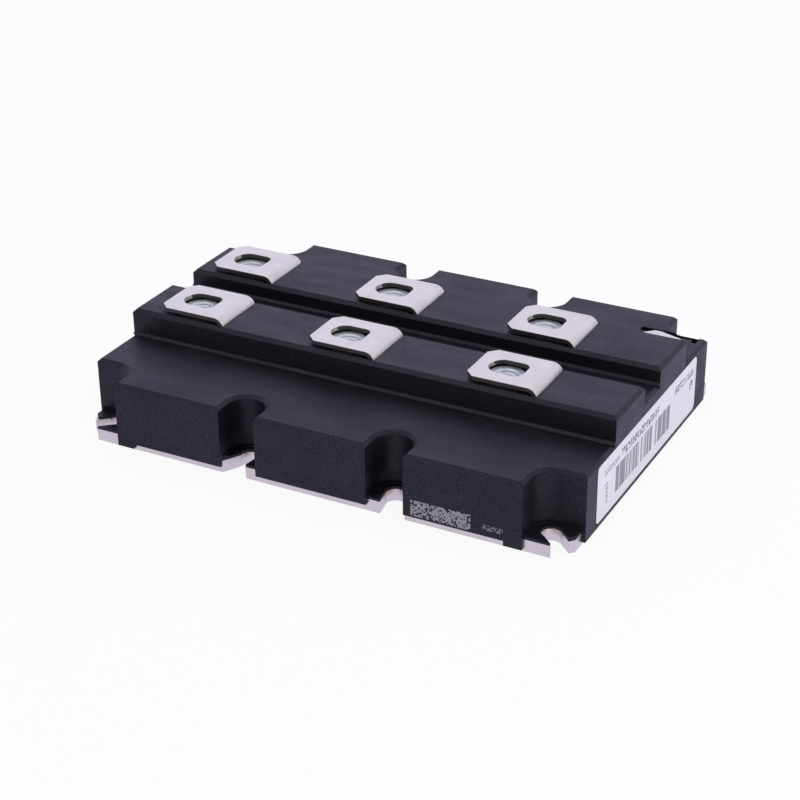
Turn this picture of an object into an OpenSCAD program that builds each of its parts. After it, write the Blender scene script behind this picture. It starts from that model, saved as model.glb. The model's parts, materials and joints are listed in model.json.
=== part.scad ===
// Large power semiconductor module with six bolted strap terminals.
// Origin at the middle of the base plate's underside: +X along the length, -Y is the front, +Z is up.

/* [Case] */
// Length of the case over its two end faces
case_l = 190; // [180:1:210]
// Width of the case over its two long faces
case_w = 140; // [136:1:150]
// Height of the front and rear shelves
shelf_h = 25.5; // [24:0.5:28]
// Height of the two terminal ridges
ridge_h = 35.5; // [34:0.5:37]
// Height of the groove floor between the ridges
groove_h = 29; // [28:0.5:31]
// Width of the groove between the ridges
groove_w = 14.6; // [12:0.2:18]
// Width of each terminal ridge
ridge_w = 25.7; // [25:0.1:28]
// Height of the seam between frame and cover
seam_h = 21.7; // [20:0.1:22]
// Thickness of the moulded walls
wall = 2.6; // [2:0.1:3]
// Thickness of the cover under the shelves and the groove
lid_t = 3; // [2.8:0.1:3.2]
// Chamfer on the outer edges of the shelves
edge_cham = 1.2; // [0.6:0.1:1.6]
// Chamfer on the top edges of the ridges
ridge_cham = 1.4; // [0.6:0.1:1.8]
// Small fillet strip along the foot of each ridge
foot_fillet = 0.9; // [0.5:0.1:1.5]
// Depth of the cover's locating tongue below the seam
tongue_h = 2; // [1:0.1:3]
// Thickness of the locating tongue
tongue_t = 1.6; // [1:0.1:2]
// Clearance between the tongue and the frame
tongue_clear = 0.15; // [0.05:0.05:0.3]

/* [Base plate] */
// Thickness of the base plate
plate_t = 4.5; // [4:0.1:6]
// How far the plate lies inside the case faces
plate_inset = 1.2; // [1:0.1:1.5]
// Clearance between the plate's rim and the skirt
plate_clear = 0.1; // [0.05:0.05:0.2]
// Height of the skirt's lower edge on the long faces
skirt_h = 2.6; // [2:0.1:3]
// Height of the skirt's lower edge on the end faces and feet
skirt_low = 0.8; // [0.5:0.1:1.2]
// Width of the four skirt feet
foot_w = 6.6; // [5:0.1:8]

/* [Screw notches] */
// Spacing of the mounting holes along the module
hole_pitch = 57; // [55:0.5:59]
// Spacing of the two rows of mounting holes
hole_span = 124; // [122:0.5:126]
// Radius of the mounting holes
hole_r = 3.5; // [3:0.1:3.8]
// Direction of the corner slots, in degrees from the long faces
slot_turn = 42; // [38:1:46]
// How much narrower a slot's mouth is than its round seat, on each side
slot_step = 0.2; // [0.1:0.1:0.4]
// Length of the plate's prongs beside the corner slots, from the hole's middle
prong_l = 6.2; // [5.5:0.1:6.6]
// How far the other slots' inner sides lean outwards at the plate's rim
slot_lean = 1.2; // [0:0.1:2]
// Width of the notches above the holes
notch_w = 14; // [13:0.1:15]
// Depth of the notches from the long faces
notch_d = 13.5; // [13:0.1:14.5]
// Thickness of the flange on the notch floors
flange_t = 1; // [0.8:0.1:1.5]
// Width and height of the bead at the foot of the notch walls
bead = 0.8; // [0.5:0.1:1.2]
// How far the flange stays back from the edge of a mounting hole
flange_back = 0.1; // [0.1:0.1:0.8]
// How far the flange stays back from the tip of a corner prong
flange_tip = 0.9; // [0.5:0.1:1.2]

/* [Terminals] */
// Spacing of the terminals in a row
term_pitch = 61.5; // [60:0.5:62]
// Distance between the two rows of terminals
row_span = 40; // [39:0.5:41]
// Position of the front row's middle terminal along the module
front_x = -12; // [-14:0.5:-10]
// Position of the rear row's middle terminal along the module
rear_x = -15.5; // [-17:0.5:-13]
// Height of the contact faces
term_h = 38; // [37.5:0.5:39]
// Thickness of the terminal straps
strap_t = 1.6; // [1.2:0.1:1.8]
// Width of the terminal straps
strap_w = 22.4; // [21:0.1:23]
// Length of a strap from the nut axis to its free end
strap_tip = 11; // [10.5:0.1:12]
// Length of a strap from the nut axis to its bent face
strap_reach = 16.4; // [16:0.1:17]
// Outer radius of the bends
bend_r = 4; // [3.5:0.1:4.5]
// Chamfer on the free corners of a strap
strap_cham = 3.2; // [2:0.1:4]
// Width of the leg inside the module
leg_w = 10; // [8:0.5:10]
// Length of the soldered foot
foot_l = 7; // [5:0.5:9]
// Width of the slot between the two toes of the foot
toe_gap = 2; // [1:0.1:3]
// Radius of the screw opening's round end
eye_r = 5.1; // [4.8:0.1:5.4]
// How far the round end's middle lies from the nut axis, towards the free end
eye_back = 1.2; // [0.5:0.1:1.5]
// How far the opening runs on from the nut axis towards the bend
eye_reach = 7.2; // [6.5:0.1:7.6]
// Radius of the opening's corners near the bend
eye_corner = 2.8; // [2:0.1:3.5]
// Clearance of a strap in its slot
slot_clear = 0.25; // [0.1:0.05:0.4]
// Depth of the recess under the bend
relief_d = 1.6; // [1:0.1:2]

/* [Nuts] */
// Size across flats of the terminal nuts
nut_af = 13; // [13:0.1:13.5]
// Thickness of the terminal nuts
nut_t = 6.5; // [6:0.1:6.8]
// Bore of the terminal nuts
nut_bore = 6.8; // [6.6:0.1:7]
// Depth of the terminal nuts below the ridge top
nut_sink = 0.3; // [0.2:0.1:0.6]
// Clearance of a nut in its pocket, each side
nut_clear = 0.15; // [0.1:0.05:0.3]
// Depth that a screw may reach below the contact face
screw_depth = 16.5; // [15:0.5:17]
// Radius of the screw well below a nut
well_r = 4.6; // [4.3:0.1:5]
// Length of the boss around a nut pocket
boss_l = 20; // [19:0.5:22]
// Thickness of the floor under a screw well
well_floor = 1.6; // [1:0.1:2]

/* [Auxiliary terminals] */
// Distance of the corner contact from the label's end face
aux_end1 = 15.4; // [15:0.1:16]
// Distance of the second contact from the label's end face
aux_end2 = 41.5; // [40:0.5:43]
// Distance of the third contact from the label's end face
aux_end3 = 79.5; // [77:0.5:81]
// How far the corner contact lies ahead of the middle between ridge and notch
aux_ahead = 0.35; // [0:0.05:0.6]
// Distance of the other contacts behind the rear ridge
aux_behind = 6.8; // [6.6:0.1:8]
// Height of the auxiliary contact faces
aux_h = 28; // [27.8:0.1:29]
// Thickness of the auxiliary straps
aux_t = 1; // [0.8:0.1:1.2]
// Width of the auxiliary straps
aux_w = 11.4; // [11:0.1:11.6]
// Width of the auxiliary straps at the bend and of their legs
aux_neck = 6.8; // [6:0.1:7.2]
// Chamfer on the free corners of an auxiliary strap
aux_cham = 3.2; // [2:0.1:3.4]
// Length of an auxiliary strap from its axis to its free end
aux_tip = 5.8; // [5.6:0.1:6.2]
// Length of an auxiliary strap from its axis to its bent face
aux_reach = 9.1; // [8.9:0.1:9.6]
// Outer radius of the auxiliary bends
aux_bend = 2.2; // [1.8:0.1:2.4]
// Radius of the auxiliary screw holes
aux_eye = 2.2; // [2.1:0.1:2.4]
// Size across flats of the auxiliary nuts
aux_af = 7; // [7:0.1:7.2]
// Thickness of the auxiliary nuts
aux_nut_t = 3.2; // [3:0.1:3.2]
// Bore of the auxiliary nuts
aux_bore = 3.3; // [3.2:0.1:3.4]
// Depth that a screw may reach below an auxiliary contact face
aux_depth = 8; // [7:0.5:9]
// Width of the creepage slot behind the corner contact
creep_w = 3.2; // [2.8:0.1:3.4]
// Length of the creepage slot
creep_l = 22.3; // [20:0.1:23]
// Depth of the creepage slot
creep_d = 2.2; // [1.5:0.1:2.3]
// Thin rim between the creepage slot and the corner notch
creep_rim = 0.5; // [0.4:0.1:0.8]
// Distance of the creepage slot from the label's end face
creep_end = 2.7; // [2.4:0.1:3.2]
// Length and width of the hook at the creepage slot's end
creep_hook = 2; // [1.5:0.1:2.2]

/* [Circuit] */
// Length of a ceramic substrate
sub_l = 54; // [52:0.5:56]
// Width of a ceramic substrate
sub_w = 47; // [46:0.5:48]
// Distance between the two rows of substrates
sub_gap = 7; // [6.5:0.5:7.5]
// Thickness of the ceramic
sub_t = 0.6; // [0.4:0.1:1]
// Thickness of each copper layer
cu_t = 0.4; // [0.3:0.1:0.5]
// Margin of ceramic left bare around the copper
cu_margin = 1.5; // [1:0.1:1.6]
// Gap between two copper tracks
track_gap = 1.2; // [1:0.1:1.4]
// Width of the gate track
gate_w = 5.5; // [5:0.1:5.8]
// Width of the track that carries the transistor chips
chip_track_w = 14; // [13.6:0.1:14.2]
// Size of a transistor chip
chip = 11.6; // [11:0.1:11.8]
// Gap between two transistor chips
chip_gap = 1; // [0.6:0.1:1.2]
// Size of a diode chip
diode = 8; // [7:0.1:9]
// Thickness of the chips
chip_t = 0.3; // [0.2:0.1:0.5]
// Thickness of the bond wires
wire_d = 0.5; // [0.3:0.1:0.5]
// Span of a bond wire
wire_span = 4.4; // [4.2:0.1:4.6]
// Thickness of the gate boards
board_t = 1.6; // [1.2:0.1:2]
// Width of the gate boards
board_w = 16; // [15:0.5:17]
// Height of the gate boards' undersides
board_h = 12; // [11.5:0.5:14]
// Gap between a gate board and the frame walls
board_gap = 1; // [0.5:0.1:1.5]
// Depth of the brackets' seats under a gate board
board_seat = 1.5; // [1:0.1:1.8]
// Width of the brackets
bracket_w = 6; // [4:0.5:8]
// Thickness of the gate pins
pin_d = 1.2; // [0.8:0.1:1.5]
// Thickness of the gel's upper layer
gel_t = 2.6; // [1.5:0.1:2.8]
// Gap left between the gel and what passes through it
gel_clear = 0.3; // [0.1:0.1:0.5]
// Thickness of the ribs under the shelves
rib_t = 1.6; // [1.2:0.1:2]
// Depth of the ribs below the seam
rib_h = 3.5; // [2:0.5:5]

/* [Label] */
// Length of the label
label_l = 93; // [80:1:94]
// Height of the label
label_w = 21.4; // [18:0.1:21.6]
// Position of the label's middle along the end face
label_y = -1; // [-2:0.5:2]
// Height of the label's lower edge
label_z = 2.4; // [2.2:0.1:2.6]
// Thickness of the label
label_t = 0.2; // [0.1:0.05:0.3]
// Radius of the label's corners
label_r = 2; // [1:0.1:3]
// Margin of the recess around the label
label_clear = 0.1; // [0.05:0.05:0.2]

/* [Hidden] */
$fn = 64;
eps = 0.01;
half_l = case_l / 2;
half_w = case_w / 2;
row_y = row_span / 2;
ridge_in = groove_w / 2;
ridge_out = ridge_in + ridge_w;
hole_y = hole_span / 2;
notch_r = notch_w / 2;
notch_y = half_w - notch_d;
notch_cy = notch_y + notch_r;
under_z = shelf_h - lid_t;
well_z = term_h - screw_depth;
nut_z = ridge_h - nut_sink - nut_t;
tile_z = plate_t + cu_t;
top_z = tile_z + sub_t;
chip_z = top_z + cu_t;
sub_y = (sub_gap + sub_w) / 2;
cu_y = sub_w / 2 - cu_margin;
// substrate tracks from the outer edge inwards, in a substrate's own frame
chip_y0 = -cu_y + gate_w + track_gap;
out_y0 = chip_y0 + chip_track_w + track_gap;
board_y = notch_y - wall - board_gap - board_w / 2;
board_l = case_l - 2 * wall - 2 * board_gap;
gel_z = board_h - gel_clear - gel_t;
aux_boss_h = aux_h - aux_t;
aux_floor_z = aux_h - aux_depth - well_floor;
aux_y1 = (ridge_out + notch_y) / 2 - aux_ahead;
aux_y2 = ridge_out + aux_behind;
aux_at = [[half_l - aux_end1, aux_y1, 0], [half_l - aux_end2, aux_y2, 0], [half_l - aux_end3, aux_y2, 0]];
aux_nut_z = aux_boss_h - nut_sink - aux_nut_t;

// ---------- helpers ----------

// Puts its children at all four quarters of the module, mirrored
module quarters() {
  for (sx = [-1, 1], sy = [-1, 1]) scale_flip(sx, sy) children();
}

module scale_flip(sx, sy) {
  mirror([sx < 0 ? 1 : 0, 0, 0]) mirror([0, sy < 0 ? 1 : 0, 0]) children();
}

// A long triangular strip along X for chamfers and fillets, its right angle on the axis
module strip_x(len, c) {
  translate([-len / 2, 0, 0]) rotate([90, 0, 90]) linear_extrude(len) polygon([[0, 0], [c, 0], [0, c]]);
}

module strip_y(len, c) {
  translate([0, len / 2, 0]) rotate([90, 0, 0]) linear_extrude(len) polygon([[0, 0], [c, 0], [0, c]]);
}

// Hexagon across flats, flats facing front and rear
module hexagon(af) {
  circle(r = af / sqrt(3), $fn = 6);
}

// A nut with turned faces and a countersunk bore, standing on the origin
module hex_nut(af, t, bore) {
  corner_r = af / sqrt(3);
  face_r = af * 0.48;
  difference() {
    intersection() {
      linear_extrude(t) hexagon(af);
      union() {
        cylinder(h = (corner_r - face_r) / 2 + eps, r1 = face_r, r2 = corner_r + eps);
        translate([0, 0, (corner_r - face_r) / 2]) cylinder(h = t - corner_r + face_r, r = corner_r + eps);
        translate([0, 0, t - (corner_r - face_r) / 2 - eps])
          cylinder(h = (corner_r - face_r) / 2 + eps, r1 = corner_r + eps, r2 = face_r);
      }
    }
    translate([0, 0, -1]) cylinder(h = t + 2, r = bore / 2);
    translate([0, 0, -eps]) cylinder(h = bore / 8, r1 = bore / 2 + bore / 8, r2 = bore / 2);
    translate([0, 0, t - bore / 8 + eps]) cylinder(h = bore / 8, r1 = bore / 2, r2 = bore / 2 + bore / 8);
  }
}

// ---------- outlines ----------

// One rear right notch in plan, grown by g; the outer one runs out at the end face
module notch_2d(outer, g) {
  x = outer ? hole_pitch * 1.5 : hole_pitch / 2;
  translate([x, notch_cy]) circle(r = notch_r + g);
  translate([x - notch_r - g, notch_cy]) square([notch_w + 2 * g, half_w - notch_cy + 1]);
  if (outer) translate([x, notch_y - g]) square([half_l - x + 1, notch_d + 1 + g]);
}

module notches_2d(g) {
  quarters() { notch_2d(false, g); notch_2d(true, g); }
}

// The case in plan, drawn in by g
module case_2d(g) {
  difference() {
    square([case_l - 2 * g, case_w - 2 * g], center = true);
    notches_2d(g);
  }
}

// Open mounting hole, grown by g: round seat and a mouth to the plate's rim. The corner mouths run out
// over the plate's corner, past a prong that is cut off square and t shorter; the others lean outwards.
module slot_2d(outer, g, t = 0) {
  rim = half_w - plate_inset - hole_y;
  translate([outer ? hole_pitch * 1.5 : hole_pitch / 2, hole_y]) {
    circle(r = hole_r + g);
    if (outer) rotate([0, 0, slot_turn]) {
      translate([0, slot_step - hole_r - g]) square([2 * notch_w, 2 * (hole_r - slot_step + g)]);
      translate([prong_l - t, -notch_w]) square([notch_w, notch_w]);
    }
    else
      polygon([[slot_step - hole_r - g, 0], [hole_r - slot_step + g, 0], [notch_r + g, rim],
        [notch_r + g, rim + 2], [slot_lean - hole_r - g, rim + 2], [slot_lean - hole_r - g, rim]]);
  }
}

module slots_2d(g, t = 0) {
  quarters() { slot_2d(false, g); slot_2d(true, g, t); }
}

module plate_2d(g) {
  square([case_l - 2 * (plate_inset + g), case_w - 2 * (plate_inset + g)], center = true);
}

// ---------- case ----------

module base_plate() color("silver") {
  difference() {
    linear_extrude(plate_t) plate_2d(0);
    translate([0, 0, -1]) linear_extrude(plate_t + 2) slots_2d(0);
  }
}

// Pocket in the right end face that takes the label
module label_pocket() {
  translate([half_l - label_t, label_y - label_l / 2 - label_clear, label_z - label_clear])
    cube([label_t + 1, label_l + 2 * label_clear, label_w + 2 * label_clear]);
}

// Brackets on the notch walls that carry the gate boards, with room of c around them
module brackets(c) {
  quarters() for (x = [hole_pitch / 2, hole_pitch * 1.5])
    translate([x - bracket_w / 2 - c, board_y + board_w / 2 - board_seat - c, plate_t])
      cube([bracket_w + 2 * c, board_seat + board_gap + wall / 2 + c, board_h - plate_t]);
}

module case_frame() color("dimgray") {
  lip = plate_inset - plate_clear;
  seam_cham = label_t * 1.5;
  difference() {
    union() {
      // walls on the plate, and the skirt around its rim
      translate([0, 0, plate_t]) linear_extrude(seam_h - plate_t)
        difference() { case_2d(0); case_2d(wall); }
      translate([0, 0, skirt_h]) linear_extrude(plate_t - skirt_h + eps)
        difference() { case_2d(0); plate_2d(-plate_clear); }
      // end skirts and feet reach lower
      for (s = [-1, 1]) translate([s * (half_l - lip / 2), 0, (skirt_low + plate_t) / 2])
        cube([lip, 2 * notch_y, plate_t - skirt_low], center = true);
      quarters() translate([hole_pitch * 1.5 - notch_r - foot_w, half_w - lip, skirt_low])
        cube([foot_w, lip, plate_t - skirt_low]);
      // notch floors on the plate, with a bead along the wall
      translate([0, 0, plate_t]) linear_extrude(flange_t) difference() {
        intersection() { plate_2d(0); notches_2d(eps); }
        slots_2d(flange_back, flange_tip);
      }
      translate([0, 0, plate_t]) linear_extrude(flange_t + bead) difference() {
        intersection() { plate_2d(0); notches_2d(eps); }
        notches_2d(-bead);
        slots_2d(flange_back, flange_tip);
      }
      brackets(0);
    }
    label_pocket();
    // fine groove at the seam on the end faces
    for (s = [0, 1]) mirror([s, 0, 0]) translate([half_l + eps, 0, seam_h + eps])
      mirror([1, 0, 0]) mirror([0, 0, 1]) strip_y(case_w, seam_cham);
  }
}

// Everything that the screw notches take from the cover, with the chamfer around the rim
module notch_cut(outer) {
  x = outer ? hole_pitch * 1.5 : hole_pitch / 2;
  c = edge_cham;
  translate([0, 0, seam_h - tongue_h - 1]) linear_extrude(shelf_h) notch_2d(outer, 0);
  translate([x, notch_cy, shelf_h - c]) cylinder(h = c + 1, r1 = notch_r, r2 = notch_r + c + 1);
  translate([x, half_w + 1, shelf_h - c]) rotate([90, 0, 0]) linear_extrude(half_w + 1 - notch_cy)
    polygon([[-notch_r, 0], [notch_r, 0], [notch_r + c + 1, c + 1], [-notch_r - c - 1, c + 1]]);
  if (outer) translate([x, notch_y, shelf_h - c]) rotate([90, 0, 90]) linear_extrude(half_l - x + 1)
    polygon([[0, 0], [notch_d, 0], [notch_d, c + 1], [-c - 1, c + 1]]);
}

// The hollow below the cover, between the bosses
module cover_hollow() {
  translate([0, 0, seam_h - 1]) linear_extrude(under_z - seam_h + 1) case_2d(wall);
  translate([0, 0, (seam_h + groove_h - lid_t) / 2])
    cube([case_l - 2 * wall, 2 * (ridge_out - wall), groove_h - lid_t - seam_h], center = true);
  for (s = [-1, 1]) {
    y0 = ridge_in + wall;
    translate([-half_l + wall, s > 0 ? y0 : -ridge_out + wall, seam_h])
      cube([case_l - 2 * wall, ridge_w - 2 * wall, ridge_h - wall - seam_h]);
  }
}

// Boss, pocket and slot of each terminal: dir is -1 in the front row, 1 in the rear row
module at_terminals() {
  for (i = [-1 : 1]) {
    translate([front_x + i * term_pitch, -row_y, 0]) children();
    translate([rear_x + i * term_pitch, row_y, 0]) children();
  }
}

module nut_boss() {
  h = ridge_h - ridge_cham - well_z + well_floor;
  translate([-boss_l / 2, -ridge_w / 2 + wall / 2, well_z - well_floor]) cube([boss_l, ridge_w - wall, h]);
}

module terminal_cut() {
  // hexagonal nut pocket and the screw well below it
  translate([0, 0, nut_z]) linear_extrude(ridge_h) hexagon(nut_af + 2 * nut_clear);
  translate([0, 0, well_z]) cylinder(h = ridge_h, r = well_r);
  // slot for the strap, and the recess under its bend
  translate([strap_reach - strap_t - slot_clear, -strap_w / 2 - slot_clear, seam_h])
    cube([strap_t + 2 * slot_clear, strap_w + 2 * slot_clear, ridge_h]);
  translate([strap_reach - bend_r, -strap_w / 2 - slot_clear, ridge_h - relief_d])
    cube([bend_r - strap_t, strap_w + 2 * slot_clear, relief_d + 1]);
}

module aux_points() for (p = aux_at) translate(p) children();

// Auxiliary strap in plan, from its chamfered free end to the neck at the bend
module aux_plan() {
  polygon([[-aux_tip, aux_w / 2 - aux_cham], [aux_cham - aux_tip, aux_w / 2], [0, aux_w / 2],
    [aux_reach - aux_bend, aux_neck / 2], [aux_reach + 1, aux_neck / 2], [aux_reach + 1, -aux_neck / 2],
    [aux_reach - aux_bend, -aux_neck / 2], [0, -aux_w / 2], [aux_cham - aux_tip, -aux_w / 2],
    [-aux_tip, aux_cham - aux_w / 2]]);
}

module case_cover() color("dimgray") {
  c = edge_cham;
  rc = ridge_cham;
  difference() {
    union() {
      difference() {
        union() {
          translate([0, 0, seam_h]) linear_extrude(shelf_h - seam_h)
            square([case_l, case_w], center = true);
          translate([0, 0, (seam_h + groove_h) / 2])
            cube([case_l, 2 * ridge_in + 2, groove_h - seam_h], center = true);
          for (s = [-1, 1]) translate([-half_l, s > 0 ? ridge_in : -ridge_out, seam_h])
            cube([case_l, ridge_w, ridge_h - seam_h]);
          // fillet strips along the ridge feet
          for (s = [0, 1]) mirror([0, s, 0]) {
            translate([0, ridge_out - eps, shelf_h - eps]) strip_x(case_l, foot_fillet);
            mirror([0, 1, 0]) translate([0, -ridge_in - eps, groove_h - eps]) strip_x(case_l, foot_fillet);
          }
        }
        cover_hollow();
      }
      at_terminals() nut_boss();
      // ribs under the shelves
      for (x = [-hole_pitch, 0, hole_pitch], s = [0, 1]) mirror([0, s, 0])
        translate([x - rib_t / 2, ridge_out - wall, seam_h - rib_h])
          cube([rib_t, half_w - wall - tongue_clear - tongue_t / 2 - ridge_out + wall, rib_h + under_z - seam_h + eps]);
      // low blocks around the auxiliary contacts, with their nut bosses below
      aux_points() translate([0, 0, aux_floor_z]) linear_extrude(aux_boss_h - aux_floor_z) intersection() {
        aux_plan();
        translate([-aux_tip, -aux_w / 2]) square([aux_tip + aux_reach - aux_bend, aux_w]);
      }
      // tongue that locates the cover in the frame
      translate([0, 0, seam_h - tongue_h]) linear_extrude(under_z - seam_h + tongue_h + eps) difference() {
        case_2d(wall + tongue_clear);
        case_2d(wall + tongue_clear + tongue_t);
      }
    }
    at_terminals() terminal_cut();
    aux_points() aux_cut();
    quarters() { notch_cut(false); notch_cut(true); }
    // outer chamfers
    for (s = [0, 1]) mirror([0, s, 0]) {
      translate([0, half_w + eps, shelf_h + eps]) mirror([0, 1, 0]) mirror([0, 0, 1]) strip_x(case_l + 2, c);
      translate([0, ridge_out + eps, ridge_h + eps]) mirror([0, 1, 0]) mirror([0, 0, 1]) strip_x(case_l + 2, rc);
      translate([0, ridge_in - eps, ridge_h + eps]) mirror([0, 0, 1]) strip_x(case_l + 2, rc);
    }
    for (s = [0, 1]) mirror([s, 0, 0]) {
      translate([half_l + eps, 0, groove_h + eps]) mirror([1, 0, 0]) mirror([0, 0, 1]) strip_y(2 * ridge_in, c);
      for (t = [-1, 1]) {
        translate([half_l + eps, t * (ridge_in + ridge_w / 2), ridge_h + eps])
          mirror([1, 0, 0]) mirror([0, 0, 1]) strip_y(ridge_w + eps, rc);
        translate([half_l + eps, t * (ridge_out + half_w) / 2, shelf_h + eps])
          mirror([1, 0, 0]) mirror([0, 0, 1]) strip_y(half_w - ridge_out, c);
      }
    }
    // creepage slot behind the corner contact
    translate([half_l - creep_end, notch_y - creep_rim - creep_w, shelf_h - creep_d]) {
      translate([-creep_l, 0, 0]) cube([creep_l, creep_w, creep_d + 1]);
      translate([-creep_hook, -creep_hook, 0]) cube([creep_hook, creep_hook + 1, creep_d + 1]);
    }
    label_pocket();
  }
}

// ---------- power terminals ----------

// Bent strap seen from the front: pad, bend, leg and foot
module strap_2d() {
  x0 = strap_reach - bend_r;
  z0 = chip_z;
  translate([-strap_tip, term_h - strap_t]) square([strap_tip + x0, strap_t]);
  difference() {
    translate([x0, term_h - bend_r]) circle(r = bend_r);
    translate([x0, term_h - bend_r]) circle(r = bend_r - strap_t);
    translate([x0 - bend_r - 1, term_h - 2 * bend_r - 1]) square([bend_r + 1, 2 * bend_r + 2]);
    translate([x0 - 1, term_h - 2 * bend_r - 1]) square([bend_r + 2, bend_r + 1]);
  }
  translate([strap_reach - strap_t, z0 + bend_r]) square([strap_t, term_h - z0 - 2 * bend_r]);
  difference() {
    translate([x0, z0 + bend_r]) circle(r = bend_r);
    translate([x0, z0 + bend_r]) circle(r = bend_r - strap_t);
    translate([x0 - bend_r - 1, z0 - 1]) square([bend_r + 1, 2 * bend_r + 2]);
    translate([x0 - 1, z0 + bend_r]) square([bend_r + 2, bend_r + 1]);
  }
  translate([x0 - foot_l, z0]) square([foot_l, strap_t]);
}

// Screw opening in plan: a full round end over the nut, drawn out to rounded corners near the bend
module eye_2d() {
  translate([-eye_back, 0]) circle(r = eye_r);
  translate([-eye_back, -eye_r]) square([eye_back + eye_reach - eye_corner, 2 * eye_r]);
  translate([-eye_back, eye_corner - eye_r]) square([eye_back + eye_reach, 2 * (eye_r - eye_corner)]);
  for (s = [-1, 1]) translate([eye_reach - eye_corner, s * (eye_r - eye_corner)]) circle(r = eye_corner);
}

module power_terminal() color("gainsboro") {
  side = (strap_w - leg_w) / 2;
  difference() {
    translate([0, strap_w / 2, 0]) rotate([90, 0, 0]) linear_extrude(strap_w) strap_2d();
    translate([0, 0, term_h - strap_t - 1]) linear_extrude(strap_t + 2) eye_2d();
    // chamfered free corners
    for (s = [-1, 1]) translate([-strap_tip, s * strap_w / 2, term_h - strap_t - 1]) rotate([0, 0, 45])
      translate([-strap_cham / sqrt(2), -strap_cham / sqrt(2), 0])
        cube([strap_cham * sqrt(2), strap_cham * sqrt(2), strap_t + 2]);
    // narrower leg below the cover
    for (s = [-1, 1]) translate([-strap_tip, s > 0 ? leg_w / 2 : -strap_w / 2 - 1, 0])
      cube([strap_tip + strap_reach + 1, side + 1, under_z]);
    // slot between the toes
    translate([-strap_tip, -toe_gap / 2, 0]) cube([strap_tip + strap_reach - bend_r, toe_gap, chip_z + strap_t + 1]);
  }
}

module front_terminal(i) translate([front_x + (i - 2) * term_pitch, -row_y, 0]) power_terminal();
module rear_terminal(i) translate([rear_x + (i - 2) * term_pitch, row_y, 0]) power_terminal();

module power_nut() color("lightsteelblue") translate([0, 0, nut_z]) hex_nut(nut_af, nut_t, nut_bore);

module front_nut(i) translate([front_x + (i - 2) * term_pitch, -row_y, 0]) power_nut();
module rear_nut(i) translate([rear_x + (i - 2) * term_pitch, row_y, 0]) power_nut();

// ---------- auxiliary terminals ----------

module aux_cut() {
  translate([0, 0, aux_nut_z]) linear_extrude(aux_h) hexagon(aux_af + 2 * nut_clear);
  translate([0, 0, aux_h - aux_depth]) cylinder(h = aux_depth, r = aux_eye + 0.2);
  translate([aux_reach - aux_t - slot_clear, -aux_neck / 2 - slot_clear, seam_h - tongue_h - 1])
    cube([aux_t + 2 * slot_clear, aux_neck + 2 * slot_clear, shelf_h]);
}

module aux_2d() {
  x0 = aux_reach - aux_bend;
  translate([-aux_tip, aux_h - aux_t]) square([aux_tip + x0, aux_t]);
  difference() {
    translate([x0, aux_h - aux_bend]) circle(r = aux_bend);
    translate([x0, aux_h - aux_bend]) circle(r = aux_bend - aux_t);
    translate([x0 - aux_bend - 1, aux_h - 2 * aux_bend - 1]) square([aux_bend + 1, 2 * aux_bend + 2]);
    translate([x0 - 1, aux_h - 2 * aux_bend - 1]) square([aux_bend + 2, aux_bend + 1]);
  }
  translate([aux_reach - aux_t, board_h + board_t]) square([aux_t, aux_h - aux_bend - board_h - board_t]);
}

module aux_terminal(i) color("gainsboro") translate(aux_at[i - 1]) difference() {
  intersection() {
    translate([0, aux_w / 2, 0]) rotate([90, 0, 0]) linear_extrude(aux_w) aux_2d();
    linear_extrude(aux_h + 1) aux_plan();
  }
  translate([0, 0, aux_h - aux_t - 1]) cylinder(h = aux_t + 2, r = aux_eye);
}

module aux_nut(i) color("lightsteelblue") translate(aux_at[i - 1])
  translate([0, 0, aux_nut_z]) hex_nut(aux_af, aux_nut_t, aux_bore);

// ---------- circuit ----------

// Puts one substrate's pieces in place: 1 to 3 in front, 4 to 6 behind, which are turned round
module at_substrate(i) {
  col = (i - 1) % 3 - 1;
  if (i <= 3) translate([col * term_pitch, -sub_y, 0]) children();
  else translate([col * term_pitch, sub_y, 0]) mirror([0, 1, 0]) children();
}

module substrate(i) color("white") at_substrate(i) translate([0, 0, tile_z + sub_t / 2])
  cube([sub_l, sub_w, sub_t], center = true);

module track(y0, y1) {
  translate([-sub_l / 2 + cu_margin, y0, top_z]) cube([sub_l - 2 * cu_margin, y1 - y0, cu_t]);
}

// Copper under the ceramic, and the gate, transistor and output tracks on it
module copper(i) color("peru") at_substrate(i) {
  translate([0, 0, plate_t + cu_t / 2]) cube([sub_l - 2 * cu_margin, 2 * cu_y, cu_t], center = true);
  track(-cu_y, -cu_y + gate_w);
  track(chip_y0, chip_y0 + chip_track_w);
  track(out_y0, cu_y);
}

function chip_x(k) = (k - 1.5) * (chip + chip_gap);

// Four transistor chips, and two diode chips on the output track
module chips(i) color("slategray") at_substrate(i) translate([0, 0, chip_z]) {
  for (k = [0 : 3])
    translate([chip_x(k) - chip / 2, chip_y0 + (chip_track_w - chip) / 2, 0]) cube([chip, chip, chip_t]);
  for (k = [0, 3]) translate([chip_x(k) - diode / 2, cu_y - diode - chip_gap, 0]) cube([diode, diode, chip_t]);
}

// A half ring of wire from a chip over a gap, with its end on the copper beyond
module bond_wire(dir) {
  mirror([0, dir < 0 ? 1 : 0, 0]) {
    translate([0, 0, chip_z + chip_t]) rotate([0, 0, 90]) rotate([90, 0, 0])
      rotate_extrude(angle = 180) translate([wire_span / 2, 0]) circle(d = wire_d, $fn = 16);
    translate([0, wire_span / 2, chip_z]) cylinder(h = chip_t, d = wire_d, $fn = 16);
  }
}

module wires(i) color("silver") at_substrate(i) for (k = [0 : 3]) {
  for (s = [-1, 1]) translate([chip_x(k) + s * chip / 4, out_y0 - track_gap / 2, 0]) bond_wire(1);
  translate([chip_x(k), chip_y0 - track_gap / 2, 0]) bond_wire(-1);
}

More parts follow.
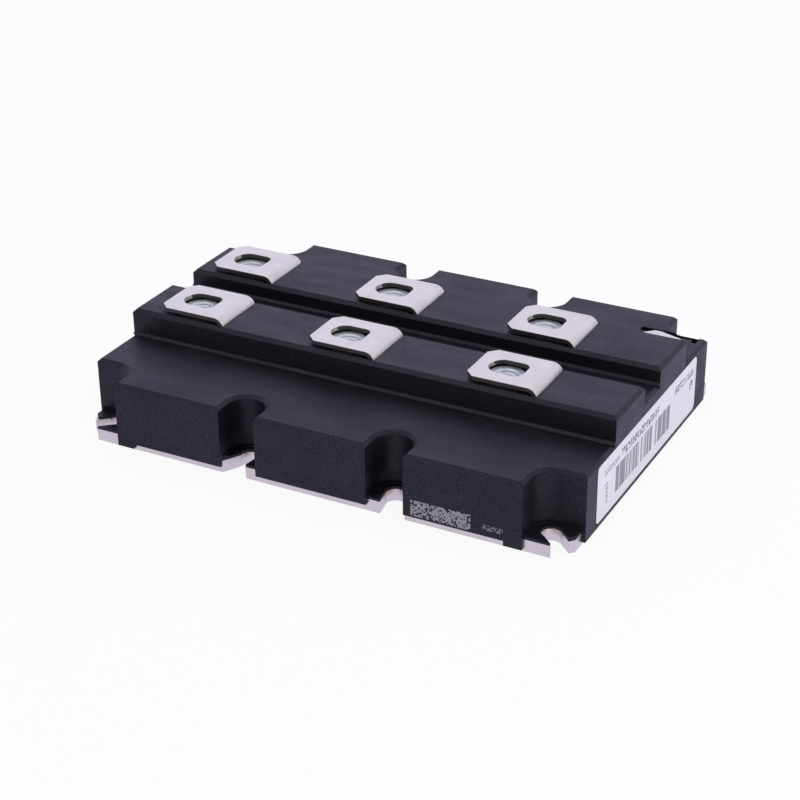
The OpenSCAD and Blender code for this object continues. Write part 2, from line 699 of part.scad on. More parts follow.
module gate_board() color("darkgreen")
  translate([-board_l / 2, board_y - board_w / 2, board_h]) cube([board_l, board_w, board_t]);

module front_gate_board() mirror([0, 1, 0]) gate_board();
module rear_gate_board() gate_board();

// Two pins per substrate from the gate track up to the board
module gate_pins() color("goldenrod")
  for (col = [-1 : 1], s = [-1, 1])
    translate([col * term_pitch + s * sub_l / 4, sub_y + cu_y - gate_w / 2, chip_z]) cylinder(h = board_h - chip_z, d = pin_d);

module front_gate_pins() mirror([0, 1, 0]) gate_pins();
module rear_gate_pins() gate_pins();

// Upper layer of the soft gel that covers the chips
module gel() color("lightcyan") difference() {
  translate([0, 0, gel_z]) linear_extrude(gel_t) case_2d(wall);
  brackets(gel_clear);
  at_terminals() translate([strap_reach - strap_t - gel_clear, -leg_w / 2 - gel_clear, 0])
    cube([strap_t + 2 * gel_clear, leg_w + 2 * gel_clear, board_h]);
  for (t = [0, 1]) mirror([0, t, 0]) for (col = [-1 : 1], s = [-1, 1])
    translate([col * term_pitch + s * sub_l / 4, sub_y + cu_y - gate_w / 2, 0])
      cylinder(h = board_h, d = pin_d + 2 * gel_clear);
}

module label() color("white") {
  translate([half_l - label_t, label_y, label_z + label_w / 2]) rotate([90, 0, 90]) linear_extrude(label_t) {
    square([label_l - 2 * label_r, label_w], center = true);
    square([label_l, label_w - 2 * label_r], center = true);
    for (sx = [-1, 1], sy = [-1, 1])
      translate([sx * (label_l / 2 - label_r), sy * (label_w / 2 - label_r)]) circle(r = label_r);
  }
}

// ---------- assembly ----------

base_plate();
case_frame();
case_cover();
front_terminal(1);  // front_terminal_1
front_terminal(2);  // front_terminal_2
front_terminal(3);  // front_terminal_3
rear_terminal(1);  // rear_terminal_1
rear_terminal(2);  // rear_terminal_2
rear_terminal(3);  // rear_terminal_3
front_nut(1);  // front_nut_1
front_nut(2);  // front_nut_2
front_nut(3);  // front_nut_3
rear_nut(1);  // rear_nut_1
rear_nut(2);  // rear_nut_2
rear_nut(3);  // rear_nut_3
aux_terminal(1);  // aux_terminal_1
aux_terminal(2);  // aux_terminal_2
aux_terminal(3);  // aux_terminal_3
aux_nut(1);  // aux_nut_1
aux_nut(2);  // aux_nut_2
aux_nut(3);  // aux_nut_3
substrate(1);  // substrate_1
substrate(2);  // substrate_2
substrate(3);  // substrate_3
substrate(4);  // substrate_4
substrate(5);  // substrate_5
substrate(6);  // substrate_6
copper(1);  // copper_1
copper(2);  // copper_2
copper(3);  // copper_3
copper(4);  // copper_4
copper(5);  // copper_5
copper(6);  // copper_6
chips(1);  // chips_1
chips(2);  // chips_2
chips(3);  // chips_3
chips(4);  // chips_4
chips(5);  // chips_5
chips(6);  // chips_6
wires(1);  // wires_1
wires(2);  // wires_2
wires(3);  // wires_3
wires(4);  // wires_4
wires(5);  // wires_5
wires(6);  // wires_6
front_gate_board();
rear_gate_board();
front_gate_pins();
rear_gate_pins();
gel();
label();
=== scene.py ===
import json
import math

import bpy
from mathutils import Matrix, Vector


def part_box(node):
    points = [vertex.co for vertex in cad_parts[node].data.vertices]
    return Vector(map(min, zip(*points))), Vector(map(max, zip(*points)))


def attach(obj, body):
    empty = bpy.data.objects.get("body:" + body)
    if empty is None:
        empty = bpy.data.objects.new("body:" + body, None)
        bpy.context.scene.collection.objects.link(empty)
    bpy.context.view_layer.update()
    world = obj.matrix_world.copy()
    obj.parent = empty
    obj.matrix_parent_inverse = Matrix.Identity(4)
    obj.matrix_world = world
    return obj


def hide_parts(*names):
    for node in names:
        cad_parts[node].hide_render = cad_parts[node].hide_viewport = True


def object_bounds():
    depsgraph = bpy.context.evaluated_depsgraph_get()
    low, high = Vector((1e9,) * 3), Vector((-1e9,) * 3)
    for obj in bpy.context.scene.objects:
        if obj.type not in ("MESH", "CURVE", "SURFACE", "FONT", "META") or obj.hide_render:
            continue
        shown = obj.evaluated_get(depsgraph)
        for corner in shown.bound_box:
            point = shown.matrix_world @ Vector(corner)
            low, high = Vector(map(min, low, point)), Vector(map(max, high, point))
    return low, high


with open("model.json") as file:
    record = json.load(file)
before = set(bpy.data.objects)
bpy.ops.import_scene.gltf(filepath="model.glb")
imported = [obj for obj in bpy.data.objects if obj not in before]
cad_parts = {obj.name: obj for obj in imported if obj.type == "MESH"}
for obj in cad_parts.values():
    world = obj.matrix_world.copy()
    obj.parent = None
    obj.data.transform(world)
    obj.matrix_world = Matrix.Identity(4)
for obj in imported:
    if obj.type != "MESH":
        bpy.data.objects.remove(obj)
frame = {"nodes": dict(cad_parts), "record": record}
cadLow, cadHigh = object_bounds()
nodes = frame["nodes"]
mm = 0.001
print("frame loaded:", len(nodes), "nodes")


# ---------- small helpers ----------

def deselectAll():
    if bpy.context.object and bpy.context.object.mode != "OBJECT":
        bpy.ops.object.mode_set(mode="OBJECT")
    bpy.ops.object.select_all(action="DESELECT")


def makeActive(piece):
    deselectAll()
    piece.select_set(True)
    bpy.context.view_layer.objects.active = piece


def centreOf(nodeName):
    low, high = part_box(nodeName)
    return (low + high) / 2


def applyPlace(piece):
    makeActive(piece)
    bpy.ops.object.transform_apply(location=True, rotation=True, scale=True)


# ---------- material helpers ----------

def toLinear(hexColour):
    channels = [int(hexColour[i:i + 2], 16) / 255 for i in (1, 3, 5)]
    return tuple(c / 12.92 if c <= 0.04045 else ((c + 0.055) / 1.055) ** 2.4 for c in channels) + (1.0,)


# Adds one node to a material or a world: settings are its own options, values its sockets,
# links what feeds them
def addNode(material, kind, values=None, links=None, **settings):
    node = material.node_tree.nodes.new("ShaderNode" + kind)
    for name, value in settings.items():
        setattr(node, name, value)
    for socket, value in (values or {}).items():
        node.inputs[socket].default_value = value
    for socket, source in (links or {}).items():
        material.node_tree.links.new(source, node.inputs[socket])
    return node


# A new material with its Principled shader and its object coordinates in millimetres
def startMaterial(name, roughness, metallic=0.0, **sockets):
    material = bpy.data.materials.new(name)
    material.use_nodes = True
    shader = material.node_tree.nodes["Principled BSDF"]
    shader.inputs["Roughness"].default_value = roughness
    shader.inputs["Metallic"].default_value = metallic
    for socket, value in sockets.items():
        shader.inputs[socket.replace("_", " ")].default_value = value
    place = addNode(material, "TexCoord")
    inMm = addNode(material, "VectorMath", {3: 1 / mm}, {0: place.outputs["Object"]}, operation="SCALE")
    return material, shader, inMm.outputs["Vector"]


def joinTo(material, source, node, socket):
    material.node_tree.links.new(source, node.inputs[socket])


# Noise whose blobs are about size mm across, stretched by stretch along X, Y and Z
def addNoise(material, coords, size, detail=3.0, stretch=(1, 1, 1)):
    squeezed = addNode(material, "VectorMath", {1: [1 / (size * s) for s in stretch]}, {0: coords},
                       operation="MULTIPLY")
    return addNode(material, "TexNoise", {"Scale": 1.0, "Detail": detail}, {"Vector": squeezed.outputs[0]})


def addRange(material, source, low, high, toLow, toHigh, **settings):
    ends = {"From Min": low, "From Max": high, "To Min": toLow, "To Max": toHigh}
    return addNode(material, "MapRange", ends, {"Value": source}, **settings).outputs["Result"]


# Spreads the band in which most of a noise lies over low to high
def spreadNoise(material, noise, low, high, band=(0.3, 0.7)):
    return addRange(material, noise.outputs["Fac"], band[0], band[1], low, high)


# Two tints of one colour that run into each other with a noise
def addTints(material, noise, dark, pale, band=(0.3, 0.7)):
    return addMix(material, spreadNoise(material, noise, 0.0, 1.0, band), toLinear(dark), toLinear(pale))


def addMath(material, operation, first, second=None):
    values, links = {}, {}
    for i, term in enumerate((first, second)):
        if term is None:
            continue
        if isinstance(term, (int, float)):
            values[i] = term
        else:
            links[i] = term
    return addNode(material, "Math", values, links, operation=operation).outputs[0]


def addMix(material, factor, first, second):
    node = addNode(material, "Mix", data_type="RGBA")
    for socket, term in ((0, factor), (6, first), (7, second)):
        if isinstance(term, (int, float, tuple)):
            node.inputs[socket].default_value = term
        else:
            joinTo(material, term, node, socket)
    return node.outputs[2]


def addBump(material, shader, height, strength, depth, normal=None):
    links = {"Height": height}
    if normal:
        links["Normal"] = normal
    bump = addNode(material, "Bump", {"Strength": strength, "Distance": depth}, links)
    joinTo(material, bump.outputs["Normal"], shader, "Normal")
    return bump.outputs["Normal"]


# 1 inside a box of coordinates given in millimetres, 0 outside
def addBoxMask(material, coords, low, high):
    centre = [(a + b) / 2 for a, b in zip(low, high)]
    half = [(b - a) / 2 for a, b in zip(low, high)]
    offset = addNode(material, "VectorMath", {1: centre}, {0: coords}, operation="SUBTRACT")
    share = addNode(material, "VectorMath", {1: half}, {0: offset.outputs[0]}, operation="DIVIDE")
    flat = addNode(material, "VectorMath", None, {0: share.outputs[0]}, operation="ABSOLUTE")
    parts = addNode(material, "SeparateXYZ", None, {0: flat.outputs[0]})
    widest = addMath(material, "MAXIMUM", parts.outputs[0], parts.outputs[1])
    widest = addMath(material, "MAXIMUM", widest, parts.outputs[2])
    return addMath(material, "LESS_THAN", widest, 1.0)


# 1 in the marked cells of a grid and 0 in the rest, a share of gaps of them
def addCells(material, coords, cell, gaps):
    stepped = addNode(material, "VectorMath", {1: cell}, {0: coords}, operation="SNAP")
    chance = addNode(material, "TexWhiteNoise", None, {"Vector": stepped.outputs[0]}, noise_dimensions="3D")
    return addMath(material, "GREATER_THAN", chance.outputs["Value"], gaps)


# ---------- camera ----------

cameraPlace = {
    "where": Vector((0.2890, -0.5514, 0.3284)),
    "azimuth": 27.83,   # degrees round to the right of the front
    "down": 27.48,      # degrees below the horizon
    "roll": -0.55,
    "lens": 86.17,      # millimetres, as is the sensor
    "sensor": 36,
    "nearest": 0.01,    # metres; nothing closer is drawn
}


def makeCamera(place):
    deselectAll()
    bpy.ops.object.camera_add(location=place["where"])
    camera = bpy.context.object
    camera.name = "camera"
    turn, down, roll = (math.radians(place[k]) for k in ("azimuth", "down", "roll"))
    right = Vector((math.cos(turn), math.sin(turn), 0))
    forward = Vector((-math.sin(turn) * math.cos(down), math.cos(turn) * math.cos(down), -math.sin(down)))
    up = right.cross(forward)
    side = right * math.cos(roll) + up * math.sin(roll)
    top = up * math.cos(roll) - right * math.sin(roll)
    camera.rotation_euler = Matrix((side, top, -forward)).transposed().to_euler()
    camera.data.lens = place["lens"]
    camera.data.sensor_width = place["sensor"]
    camera.data.clip_start = place["nearest"]
    bpy.context.scene.camera = camera


makeCamera(cameraPlace)
print("camera set")


# ---------- materials ----------

# Glass-filled PBT, injection moulded in a spark-eroded tool: near black with a cool cast,
# a fine grain, flow marks in the skin and a few specks of dust
def makeMouldedPlastic(name):
    # how wide each feature of the skin is, in millimetres
    skin = {"grain": 0.35, "pore": 0.8, "flow": 26.0, "speck": 3.2, "scuff": 9.0}
    dustLook = {"radius": 0.04, "strength": 0.5, "colour": "#9a98a0"}
    sheenOf = {"grain": (0.26, 0.5), "pore": (-0.06, 0.14)}
    roughOf = {"scuff": (0.40, 0.56), "grain": (-0.03, 0.05)}
    height = {"flow": 0.15 * mm, "grain": 0.03 * mm}
    material, shader, coords = startMaterial(name, 0.5, IOR=1.46, Specular_Tint=toLinear("#f4f1ff"))
    flow = addNoise(material, coords, skin["flow"], 4.0, (1.6, 1, 1))
    grain = addNoise(material, coords, skin["grain"], 2.0)
    scuff = addNoise(material, coords, skin["scuff"], 5.0, (2.5, 1, 1))
    base = addTints(material, flow, "#0e0e10", "#131316", (0.35, 0.65))
    base = addMix(material, spreadNoise(material, grain, 0.0, 0.35), base, toLinear("#1c1b20"))
    cells = addNode(material, "TexVoronoi", {"Scale": 1 / skin["speck"], "Randomness": 1.0},
                    {"Vector": coords}, feature="F1")
    dust = addMath(material, "LESS_THAN", cells.outputs["Distance"], dustLook["radius"])
    dust = addMath(material, "MULTIPLY", dust, dustLook["strength"])
    base = addMix(material, dust, base, toLinear(dustLook["colour"]))
    joinTo(material, base, shader, "Base Color")
    # pores and resin-rich spots: the sheen itself is grainy
    pores = addNoise(material, coords, skin["pore"], 2.0)
    sheen = addMath(material, "ADD", spreadNoise(material, grain, *sheenOf["grain"]),
                    spreadNoise(material, pores, *sheenOf["pore"]))
    joinTo(material, sheen, shader, "Specular IOR Level")
    rough = addMath(material, "ADD", spreadNoise(material, scuff, *roughOf["scuff"], (0.3, 0.75)),
                    spreadNoise(material, grain, *roughOf["grain"]))
    joinTo(material, rough, shader, "Roughness")
    wave = addBump(material, shader, flow.outputs["Fac"], 0.25, height["flow"])
    addBump(material, shader, grain.outputs["Fac"], 0.35, height["grain"], wave)
    return material, shader, coords, base


# The same plastic with a laser-marked patch of cells and a short row of marks, both a paler grey
def makeMarkedPlastic(name, patches, cell):
    material, shader, coords, base = makeMouldedPlastic(name)
    for patch in patches:
        inside = addBoxMask(material, coords, patch["low"], patch["high"])
        lit = addCells(material, coords, (cell, cell, cell), patch["gaps"])
        marked = addMath(material, "MULTIPLY", addMath(material, "MULTIPLY", inside, lit), patch["strength"])
        base = addMix(material, marked, base, toLinear("#a3a1a0"))
    joinTo(material, base, shader, "Base Color")
    return material


# Copper strip, sheared, bent and then tin plated: a pale satin skin with rolling lines,
# with a rougher cut edge whose brownish copper tone is painted almost black as shade
def makeTinnedCopper(name):
    material, shader, coords = startMaterial(name, 0.45, 1.0)
    lines = addNoise(material, coords, 0.25, 2.0, (40, 1, 1))
    cloud = addNoise(material, coords, 7.0, 4.0)
    pits = addNoise(material, coords, 0.5, 2.0)
    base = addTints(material, cloud, "#d5d2c6", "#e1dfd3")
    base = addMix(material, spreadNoise(material, pits, 0.0, 0.5, (0.66, 0.74)), base, toLinear("#9a958c"))
    # the cut edges face along Y and, at the tip, towards -X
    edge = {"leastTurn": 0.5, "strength": 0.88, "colour": "#332e2c", "extraRough": 0.05}
    facing = addNode(material, "TexCoord")
    normal = addNode(material, "SeparateXYZ", None, {0: facing.outputs["Normal"]})
    alongY = addMath(material, "ABSOLUTE", normal.outputs[1])
    sideways = addMath(material, "GREATER_THAN", alongY, edge["leastTurn"])
    tip = addMath(material, "LESS_THAN", normal.outputs[0], -edge["leastTurn"])
    cut = addMath(material, "MAXIMUM", sideways, tip)
    # painted shade: edges facing along Y and the tip go almost black for the dark surroundings they reflect
    edgeShadeAndCopper = addMath(material, "MULTIPLY", cut, edge["strength"])
    base = addMix(material, edgeShadeAndCopper, base, toLinear(edge["colour"]))
    joinTo(material, base, shader, "Base Color")
    rough = addMath(material, "ADD", spreadNoise(material, cloud, 0.4, 0.5),
                    addMath(material, "MULTIPLY", cut, edge["extraRough"]))
    joinTo(material, rough, shader, "Roughness")
    low = addBump(material, shader, lines.outputs["Fac"], 0.12, 0.02 * mm)
    addBump(material, shader, cloud.outputs["Fac"], 0.1, 0.1 * mm, low)
    return material


# Steel, cold formed, zinc plated and blue passivated: a bright, half matt skin with a cool cast
def makeZincPlate(name):
    material, shader, coords = startMaterial(name, 0.45, 0.5)
    cloud = addNoise(material, coords, 1.6, 4.0)
    joinTo(material, addTints(material, cloud, "#d9e2e2", "#eef5f4", (0.35, 0.65)), shader, "Base Color")
    joinTo(material, spreadNoise(material, cloud, 0.4, 0.56), shader, "Roughness")
    addBump(material, shader, cloud.outputs["Fac"], 0.2, 0.04 * mm)
    return material


# Copper plate under electroless nickel: a warm, slightly pink satin with faint grinding lines
def makeNickelPlate(name):
    material, shader, coords = startMaterial(name, 0.3, 1.0)
    lines = addNoise(material, coords, 0.2, 3.0, (60, 1, 1))
    cloud = addNoise(material, coords, 14.0, 4.0)
    joinTo(material, addTints(material, cloud, "#dad2c9", "#e6dfd6"), shader, "Base Color")
    joinTo(material, spreadNoise(material, cloud, 0.26, 0.38), shader, "Roughness")
    addBump(material, shader, lines.outputs["Fac"], 0.12, 0.02 * mm)
    return material


# Polyester film label, white and satin, thermally printed with generic bars and cells
def makeLabelFilm(name, prints):
    material, shader, coords = startMaterial(name, 0.42)
    cloud = addNoise(material, coords, 12.0, 3.0)
    base = addMix(material, cloud.outputs["Fac"], toLinear("#e5e5e1"), toLinear("#efefeb"))
    for field in prints:
        inside = addBoxMask(material, coords, field["low"], field["high"])
        inked = addCells(material, coords, field["cell"], field["gaps"])
        if "pitch" in field:
            along = addNode(material, "SeparateXYZ", None, {0: coords}).outputs[field["axis"]]
            share = addMath(material, "FRACT", addMath(material, "DIVIDE", along, field["pitch"]))
            inked = addMath(material, "MULTIPLY", inked, addMath(material, "LESS_THAN", share, field["fill"]))
        marked = addMath(material, "MULTIPLY", addMath(material, "MULTIPLY", inside, inked), field["ink"])
        base = addMix(material, marked, base, toLinear("#2b2933"))
    joinTo(material, base, shader, "Base Color")
    joinTo(material, spreadNoise(material, cloud, 0.36, 0.48), shader, "Roughness")
    addBump(material, shader, addNoise(material, coords, 3.0, 2.0).outputs["Fac"], 0.06, 0.05 * mm)
    return material


# Materials of the closed inside share one recipe: two tints, a cloud and a fine bump
def makeInnerMaterial(name, dark, pale, roughness, metallic, cloudSize, bumpSize, **sockets):
    smoother, rougher = 0.05, 0.07
    material, shader, coords = startMaterial(name, roughness, metallic, **sockets)
    cloud = addNoise(material, coords, cloudSize)
    joinTo(material, addTints(material, cloud, dark, pale), shader, "Base Color")
    rough = spreadNoise(material, cloud, roughness - smoother, roughness + rougher)
    joinTo(material, rough, shader, "Roughness")
    addBump(material, shader, addNoise(material, coords, bumpSize, 2.0).outputs["Fac"], 0.2, 0.03 * mm)
    return material


# Marks and prints are given as boxes in millimetres that reach through the face they are on
laserMarks = [
    {"low": (38.3, -71, 3.3), "high": (60.2, -69, 9.2), "gaps": 0.28, "strength": 0.95},
    {"low": (64.6, -71, 4.8), "high": (71.8, -69, 6.9), "gaps": 0.5, "strength": 0.6},
]
labelPrints = [
    # the bars run across the film, so their cells are long in Z
    {"low": (90, -31.5, 6.7), "high": (99, 19.5, 16.4), "cell": (50, 0.62, 50), "gaps": 0.36, "ink": 0.7},
    # rows of small marks, one to each pitch along the axis
    {"low": (90, -26.5, 17.7), "high": (99, 8.0, 20.9), "cell": (50, 0.5, 0.8), "gaps": 0.4, "ink": 0.95,
     "pitch": 2.1, "axis": "Y", "fill": 0.76},
    {"low": (90, -42.0, 17.7), "high": (99, -28.5, 19.9), "cell": (50, 0.4, 0.55), "gaps": 0.42, "ink": 0.75,
     "pitch": 1.6, "axis": "Y", "fill": 0.72},
    {"low": (90, 23.5, 17.6), "high": (99, 42.5, 20.4), "cell": (50, 0.48, 0.7), "gaps": 0.42, "ink": 0.95,
     "pitch": 1.9, "axis": "Y", "fill": 0.74},
    {"low": (90, -40.6, 6.8), "high": (99, -38.4, 14.6), "cell": (50, 0.7, 0.4), "gaps": 0.42, "ink": 0.85,
     "pitch": 1.7, "axis": "Z", "fill": 0.74},
    # a small block of cells
    {"low": (90, 39.2, 12.6), "high": (99, 42.2, 15.8), "cell": (50, 0.6, 0.6), "gaps": 0.4, "ink": 0.8},
]

plastic = makeMouldedPlastic("Black moulded PBT")[0]
markedPlastic = makeMarkedPlastic("Black moulded PBT, laser marked", laserMarks, 0.55)
tinned = makeTinnedCopper("Tin-plated copper strip")
zinc = makeZincPlate("Zinc-plated steel")
nickel = makeNickelPlate("Nickel-plated copper")
labelFilm = makeLabelFilm("White polyester film", labelPrints)
inner = {
    "alumina": makeInnerMaterial("Alumina ceramic", "#e2dfd6", "#efece4", 0.55, 0.0, 6.0, 0.4),
    "bare_copper": makeInnerMaterial("Bare copper foil", "#b8705a", "#d08a6c", 0.32, 1.0, 5.0, 0.3),
    "die": makeInnerMaterial("Metallised silicon", "#8b8d92", "#a3a5aa", 0.22, 1.0, 4.0, 0.3),
    "bond_aluminium": makeInnerMaterial("Drawn aluminium wire", "#c6c7c9", "#dcdddf", 0.25, 1.0, 1.0, 0.2),
    "board": makeInnerMaterial("Green solder mask", "#0f4a26", "#17602f", 0.4, 0.0, 8.0, 0.5),
    "pin_brass": makeInnerMaterial("Drawn brass", "#b5964f", "#cbb06a", 0.28, 1.0, 2.0, 0.2),
    "silicone": makeInnerMaterial("Silicone gel", "#c8ccd0", "#dadde0", 0.2, 0.0, 10.0, 2.0,
                                  Transmission_Weight=0.6, IOR=1.41),
}
bySlot = {"nickel_plate": nickel, "case_moulding": plastic, "tinned_copper": tinned, "zinc_plate": zinc,
          "label_film": labelFilm, **inner}

slotOf = {row["node"]: row["material_slot"] for row in frame["record"]["subparts"]}
for name, node in nodes.items():
    node.data.materials.clear()
    node.data.materials.append(markedPlastic if name == "case_frame" else bySlot[slotOf[name]])
print("materials assigned")


# ---------- softened edges ----------

# The solids have dead sharp edges; straps, contacts and the plate get the fine rounding that shearing
# and milling leave on the real ones
edgeRadius = {"terminal": 0.18 * mm, "base_plate": 0.2 * mm}
edgeFinish = {"weld": 0.002 * mm, "segments": 2, "leastAngle": 35}


def softenEdges(node, radius):
    weld = node.modifiers.new("weld", "WELD")
    weld.merge_threshold = edgeFinish["weld"]
    bevel = node.modifiers.new("edge radius", "BEVEL")
    bevel.width = radius
    bevel.segments = edgeFinish["segments"]
    bevel.limit_method = "ANGLE"
    bevel.angle_limit = math.radians(edgeFinish["leastAngle"])
    bevel.use_clamp_overlap = True
    bevel.harden_normals = True


for name, node in nodes.items():
    for part, radius in edgeRadius.items():
        if part in name:
            softenEdges(node, radius)
print("edges softened")


# ---------- captive nuts ----------

nutSizes = {
    "power": {"acrossFlats": 13.0 * mm, "thickness": 6.5 * mm, "bore": 6.8 * mm, "pitch": 1.25 * mm,
              "countersink": 0.6 * mm},
    "aux": {"acrossFlats": 7.0 * mm, "thickness": 3.2 * mm, "bore": 3.3 * mm, "pitch": 0.7 * mm,
            "countersink": 0.3 * mm},
}
nutForm = {
    "threadDepth": 0.54,     # of the pitch
    "faceRadius": 0.48,      # of the distance across flats, where the end face begins to fall away
    "cornerCut": 0.7,        # of what lies outside that radius
    "threadEnds": 1.2,       # pitches left plain at the two ends together
    "sunk": 0.05 * mm,       # how far the ridge of the thread is let into the wall
    "ringSteps": 72, "turnSteps": 36,
    "weld": 0.001 * mm,
    "smoothBelow": 32,       # degrees
}


def selectVertices(piece, wanted):
    bpy.ops.object.mode_set(mode="EDIT")
    bpy.ops.mesh.select_mode(type="VERT")
    bpy.ops.mesh.select_all(action="DESELECT")
    bpy.ops.object.mode_set(mode="OBJECT")
    for vertex in piece.data.vertices:
        vertex.select = wanted(vertex.co)
    bpy.ops.object.mode_set(mode="EDIT")


# A ring spun from its section, cut to a hexagon, with a helical thread in the bore
def makeNut(name, sizes, centre):
    flats, thick, bore, pitch = (sizes[k] for k in ("acrossFlats", "thickness", "bore", "pitch"))
    corner = flats / math.sqrt(3)
    groove = bore / 2 + nutForm["threadDepth"] * pitch
    deselectAll()
    bpy.ops.mesh.primitive_plane_add(size=1, rotation=(math.radians(90), 0, 0))
    ring = bpy.context.object
    ring.name = name
    ring.scale = (corner - groove, thick, 1)
    ring.location = ((corner + groove) / 2, 0, 0)
    applyPlace(ring)
    # chamfer the outer corners of the section
    selectVertices(ring, lambda at: at.x > (corner + groove) / 2)
    chamfer = (corner - flats * nutForm["faceRadius"]) * nutForm["cornerCut"]
    bpy.ops.mesh.bevel(offset=chamfer, affect="VERTICES", segments=1)
    # and countersink both ends of the bore
    selectVertices(ring, lambda at: at.x < groove + nutForm["weld"])
    bpy.ops.mesh.bevel(offset=sizes["countersink"], affect="VERTICES", segments=1)
    # only the outline is spun, so no face is left inside the ring
    bpy.ops.mesh.select_all(action="SELECT")
    bpy.ops.mesh.delete(type="ONLY_FACE")
    bpy.ops.mesh.select_all(action="SELECT")
    bpy.ops.mesh.spin(steps=nutForm["ringSteps"], angle=2 * math.pi, center=(0, 0, 0), axis=(0, 0, 1))
    bpy.ops.mesh.select_all(action="SELECT")
    bpy.ops.mesh.remove_doubles(threshold=nutForm["weld"])
    bpy.ops.mesh.normals_make_consistent(inside=False)
    for i in range(6):
        turn = math.radians(60 * i + 30)
        way = Vector((math.cos(turn), math.sin(turn), 0))
        bpy.ops.mesh.select_all(action="SELECT")
        bpy.ops.mesh.bisect(plane_co=way * flats / 2, plane_no=way, use_fill=True, clear_outer=True,
                            threshold=nutForm["weld"])
    bpy.ops.object.mode_set(mode="OBJECT")
    thread = makeThread(name, bore, groove, thick, pitch)
    makeActive(ring)
    thread.select_set(True)
    bpy.ops.object.join()
    ring.location = centre
    applyPlace(ring)
    bpy.ops.object.shade_smooth_by_angle(angle=math.radians(nutForm["smoothBelow"]))
    return ring


# One ridge of triangular section wound along the bore, closed at both ends
def makeThread(name, bore, groove, thick, pitch):
    turns = int((thick - nutForm["threadEnds"] * pitch) / pitch)
    deselectAll()
    bpy.ops.mesh.primitive_circle_add(vertices=3, radius=1, fill_type="NGON", rotation=(math.radians(90), 0, 0))
    ridge = bpy.context.object
    ridge.name = name + "_thread"
    applyPlace(ridge)
    # the three corners: two sunk in the wall, one at the crest
    sunk = groove + nutForm["sunk"]
    corners = [(bore / 2, 0, 0), (sunk, 0, pitch / 2), (sunk, 0, -pitch / 2)]
    for vertex, corner in zip(ridge.data.vertices, corners):
        vertex.co = corner
    screw = ridge.modifiers.new("thread", "SCREW")
    screw.axis = "Z"
    screw.angle = 2 * math.pi * turns
    screw.screw_offset = pitch * turns
    screw.steps = nutForm["turnSteps"] * turns
    screw.use_merge_vertices = False
    makeActive(ridge)
    bpy.ops.object.modifier_apply(modifier="thread")
    bpy.ops.object.mode_set(mode="EDIT")
    bpy.ops.mesh.select_mode(type="EDGE")
    bpy.ops.mesh.select_all(action="DESELECT")
    bpy.ops.mesh.select_non_manifold(extend=False, use_boundary=True, use_wire=False, use_multi_face=False,
                                     use_non_contiguous=False, use_verts=False)
    bpy.ops.mesh.fill()
    bpy.ops.mesh.select_all(action="SELECT")
    bpy.ops.mesh.normals_make_consistent(inside=False)
    bpy.ops.object.mode_set(mode="OBJECT")
    low = min(v.co.z for v in ridge.data.vertices)
    high = max(v.co.z for v in ridge.data.vertices)
    ridge.location = (0, 0, -(low + high) / 2)
    applyPlace(ridge)
    return ridge


for name in sorted(nodes):
    if "_nut_" not in name:
        continue
    kind = "aux" if name.startswith("aux") else "power"
    nut = makeNut("threaded_" + name, nutSizes[kind], centreOf(name))
    nut.data.materials.clear()
    nut.data.materials.append(zinc)
    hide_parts(name)
    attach(nut, "root")
print("nuts threaded")


# ---------- floor, lamps and world ----------

studio = {
    "floorSize": 12.0, "floorGap": 0.05 * mm, "floorColour": "#f4f4f4",
    "showWhite": 0.9,                   # how much of its real shading the floor hides from the camera
    "roomTint": "#e6e1ff",
    "backLevel": 1.24, "frontLevel": 0.28,
    "backWay": (-0.44, 0.84, 0.32),     # where the room is brightest
    "turn": (-0.35, 0.75),              # it is darkest and brightest at these cosines from that way
}
lamps = {
    # name: place, target, size, watts
    "top softbox": ((-0.15, -0.5, 1.15), (0, 0, 0), 0.9, 1.8),
    "right softbox": ((1.0, -0.25, 0.35), (0.05, 0, 0), 1.2, 6.0),
    "front fill": ((-0.5, -1.1, 0.6), (0, 0, 0), 0.8, 1.5),
}


# The room's tint for the light that falls on things, white for what the camera sees
def addRoomTint(owner, path):
    return addMix(owner, path.outputs["Is Camera Ray"], toLinear(studio["roomTint"]), toLinear("#ffffff"))


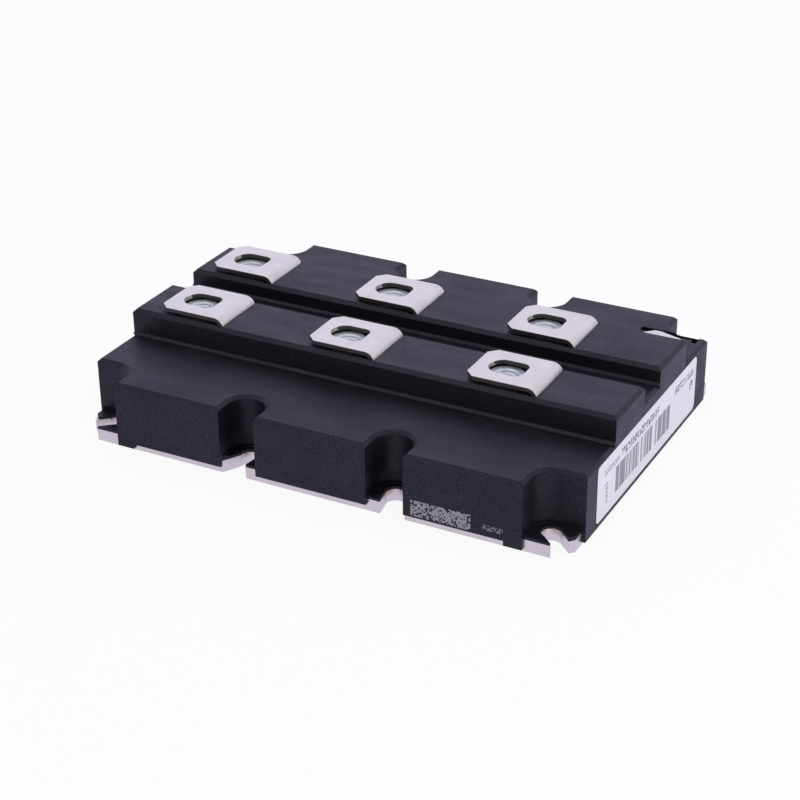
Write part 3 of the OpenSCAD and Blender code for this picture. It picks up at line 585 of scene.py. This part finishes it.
# White to the camera and to mirror-like surfaces, with part of the real shadow kept
def makeFloorMaterial():
    material, shader, _ = startMaterial("Studio floor", 0.9)
    shader.inputs["Base Color"].default_value = toLinear(studio["floorColour"])
    shader.inputs["Specular IOR Level"].default_value = 0.0
    path = addNode(material, "LightPath")
    seen = addMath(material, "MAXIMUM", path.outputs["Is Camera Ray"], path.outputs["Is Glossy Ray"])
    seen = addMath(material, "MAXIMUM", seen, path.outputs["Is Transmission Ray"])
    glow = addNode(material, "Emission", {"Strength": 1.0}, {"Color": addRoomTint(material, path)})
    share = addMath(material, "MULTIPLY", seen, studio["showWhite"])
    mix = addNode(material, "MixShader", None, {0: share, 1: shader.outputs[0], 2: glow.outputs[0]})
    joinTo(material, mix.outputs[0], material.node_tree.nodes["Material Output"], "Surface")
    return material


def makeFloor():
    deselectAll()
    bpy.ops.mesh.primitive_plane_add(size=studio["floorSize"], location=(0, 0, cadLow.z - studio["floorGap"]))
    floor = bpy.context.object
    floor.name = "floor"
    floor.data.materials.append(makeFloorMaterial())
    return floor


def makeLamp(name, place, target, size, watts):
    deselectAll()
    bpy.ops.object.light_add(type="AREA", location=place)
    lamp = bpy.context.object
    lamp.name = name
    lamp.data.size = size
    lamp.data.energy = watts
    lamp.rotation_euler = (Vector(target) - Vector(place)).to_track_quat("-Z", "Y").to_euler()


# A soft white room, bright behind the part and darker on the camera's side
def makeRoom():
    world = bpy.data.worlds.new("soft white room")
    bpy.context.scene.world = world
    world.use_nodes = True
    background = world.node_tree.nodes["Background"]
    path = addNode(world, "LightPath")
    seen = addMath(world, "MAXIMUM", path.outputs["Is Camera Ray"], path.outputs["Is Transmission Ray"])
    way = addNode(world, "TexCoord")
    facing = addNode(world, "VectorMath", {1: studio["backWay"]}, {0: way.outputs["Generated"]},
                     operation="DOT_PRODUCT")
    room = addRange(world, facing.outputs["Value"], *studio["turn"], studio["frontLevel"], studio["backLevel"],
                    interpolation_type="SMOOTHSTEP")
    level = addNode(world, "MapRange", {"To Max": 1.0}, {"Value": seen, "To Min": room})
    joinTo(world, level.outputs["Result"], background, "Strength")
    joinTo(world, addRoomTint(world, path), background, "Color")


floor = makeFloor()
for name, values in lamps.items():
    makeLamp(name, *values)
makeRoom()
bpy.context.scene.view_settings.view_transform = "Standard"
print("floor, lamps and world ready")
